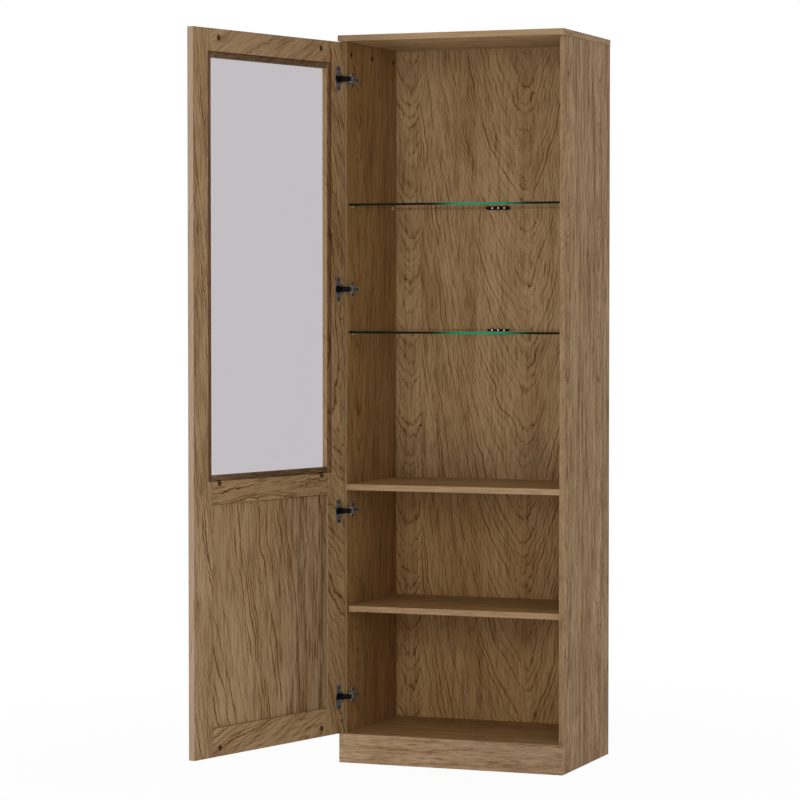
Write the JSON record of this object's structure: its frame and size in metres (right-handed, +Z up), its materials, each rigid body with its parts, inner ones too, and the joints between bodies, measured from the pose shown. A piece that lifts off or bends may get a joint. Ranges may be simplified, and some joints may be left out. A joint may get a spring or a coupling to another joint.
{
  "type": "bookcase with a framed glass door",
  "caption": "Tall narrow bookcase: a board carcass with wood and glass shelves, light clips, and one framed door, glass above and a panel below, on concealed hinges.",
  "frame": {"origin": "on the floor at mid width, under the middle of the plinth board's thickness", "axes": "+Z up, +X to the right of someone who faces the front, +Y from the front to the wall"},
  "size_m": [0.8196, 1.0315, 2],
  "materials": {
    "carcass_wood": "oak grain foil, satin",
    "back_wood": "oak grain foil, satin",
    "door_wood": "oak grain foil, satin",
    "dowel_wood": "bare beech",
    "shelf_glass": "clear float glass with green edges",
    "door_glass": "lightly tinted glass",
    "zinc": "zinc-plated, satin",
    "hinge_grey": "gunmetal, satin",
    "hinge_black": "black, satin",
    "clip_black": "black, matte",
    "lens_white": "white, translucent"
  },
  "bodies": {
    "case": {"top_panel": "carcass_wood", "left_side_panel": "carcass_wood", "right_side_panel": "carcass_wood", "plinth_board": "carcass_wood", "bottom_panel": "carcass_wood", "fixed_shelf": "carcass_wood", "adjustable_shelf": "carcass_wood", "back_panel": "back_wood", "glass_shelf_upper": "shelf_glass", "glass_shelf_lower": "shelf_glass", "glass_shelf_pins": "zinc", "adjustable_shelf_pins": "zinc", "carcass_cam_locks": "zinc", "carcass_cam_bolts": "zinc", "carcass_dowels": "dowel_wood", "light_clip_upper": "clip_black", "light_clip_lower": "clip_black", "light_clip_lenses": "lens_white", "hinge_mounting_plates": "hinge_grey", "hinge_arms": "hinge_grey", "hinge_plate_screws": "hinge_black", "hinge_arm_screws": "hinge_black"},
    "door": {"door_hinge_stile": "door_wood", "door_free_stile": "door_wood", "door_top_rail": "door_wood", "door_middle_rail": "door_wood", "door_bottom_rail": "door_wood", "door_lower_panel": "door_wood", "door_glass": "door_glass", "door_cam_locks": "zinc", "door_cam_bolts": "zinc", "door_dowels": "dowel_wood", "hinge_cups": "hinge_grey", "hinge_cup_screws": "hinge_black", "hinge_cup_pins": "hinge_grey"},
    "links": {"hinge_links": "hinge_black", "hinge_arm_pins": "hinge_grey"}
  },
  "joints": [
    {"name": "door_hinge", "type": "hinge", "parent": "case", "child": "door", "pos_m": [-0.319, -0.004, 1.032], "axis": [0, 0, 1], "range_deg": [0, 105]},
    {"name": "hinge_link_swing", "type": "hinge", "parent": "door", "child": "links", "pos_m": [-0.313, -0.01097, 1.032], "axis": [0, 0, 1], "range_deg": [-147.24, 0]}
  ],
  "couplings": [
    {"joint": "hinge_link_swing", "follows": "door_hinge", "ratio": -1.4022}
  ]
}
